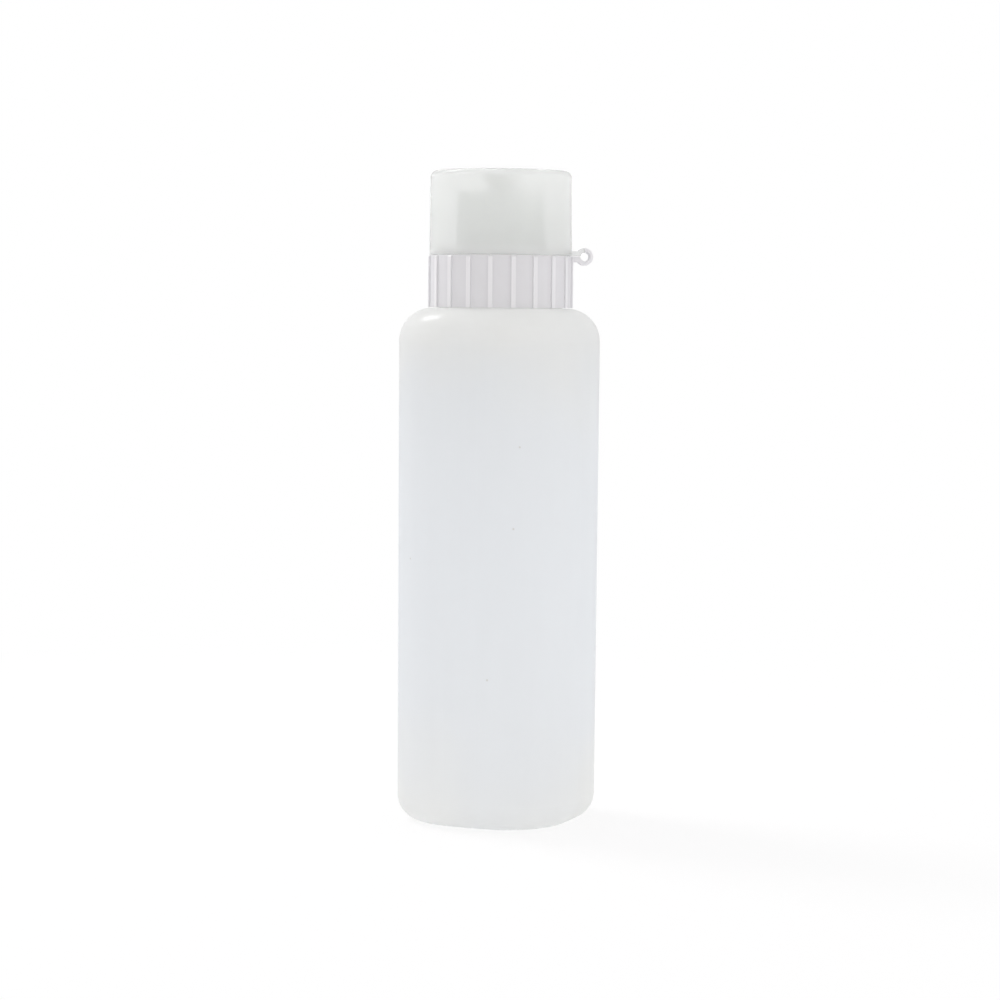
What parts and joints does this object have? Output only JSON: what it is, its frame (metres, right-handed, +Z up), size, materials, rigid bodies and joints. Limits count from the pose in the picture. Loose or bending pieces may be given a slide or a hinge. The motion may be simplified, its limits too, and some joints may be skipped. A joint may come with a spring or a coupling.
{
  "type": "squeeze bottle",
  "caption": "Rounded-square translucent squeeze bottle for sauces, with a ribbed screw collar, spout insert and flip lid on a looped living hinge.",
  "frame": {"origin": "centre of the base, on the surface the bottle stands on", "axes": "+Z up along the bottle's axis; X and Y square to the flat sides; the closure's hinge lies 23.4 degrees from +X towards +Y when the collar is screwed tight"},
  "size_m": [0.0516, 0.0516, 0.1754],
  "materials": {
    "bottle_ldpe": "natural low-density polyethylene, blow moulded, milky and satin",
    "spout_ldpe": "natural low-density polyethylene, injection moulded, satin",
    "collar_pp": "natural polypropylene, injection moulded, satin",
    "lid_pp": "natural polypropylene, injection moulded, frosted and see-through in shadow",
    "seal_silicone": "white silicone rubber, matt"
  },
  "bodies": {
    "bottle": {"bottle": "bottle_ldpe"},
    "spout": {"spout": "spout_ldpe", "neck_gasket": "seal_silicone"},
    "collar": {"screw_collar": "collar_pp", "hinge_strap": "collar_pp"},
    "lid": {"flip_lid": "lid_pp", "lid_seal_pad": "seal_silicone"}
  },
  "joints": [
    {"name": "closure_lift", "type": "slide", "parent": "bottle", "child": "spout", "axis": [0, 0, 1], "range_m": [0, 0.0061]},
    {"name": "collar_turn", "type": "hinge", "parent": "spout", "child": "collar", "pos_m": [0, 0, 0.1526], "axis": [0, 0, 1], "range_deg": [0, 540]},
    {"name": "lid_hinge", "type": "hinge", "parent": "collar", "child": "lid", "pos_m": [0.02317, 0.01003, 0.15257], "axis": [-0.3971, 0.9178, 0], "range_deg": [0, 170], "deforming": ["hinge_strap"]}
  ],
  "couplings": [
    {"joint": "closure_lift", "follows": "collar_turn", "m_per_rad": 0.00063662}
  ]
}
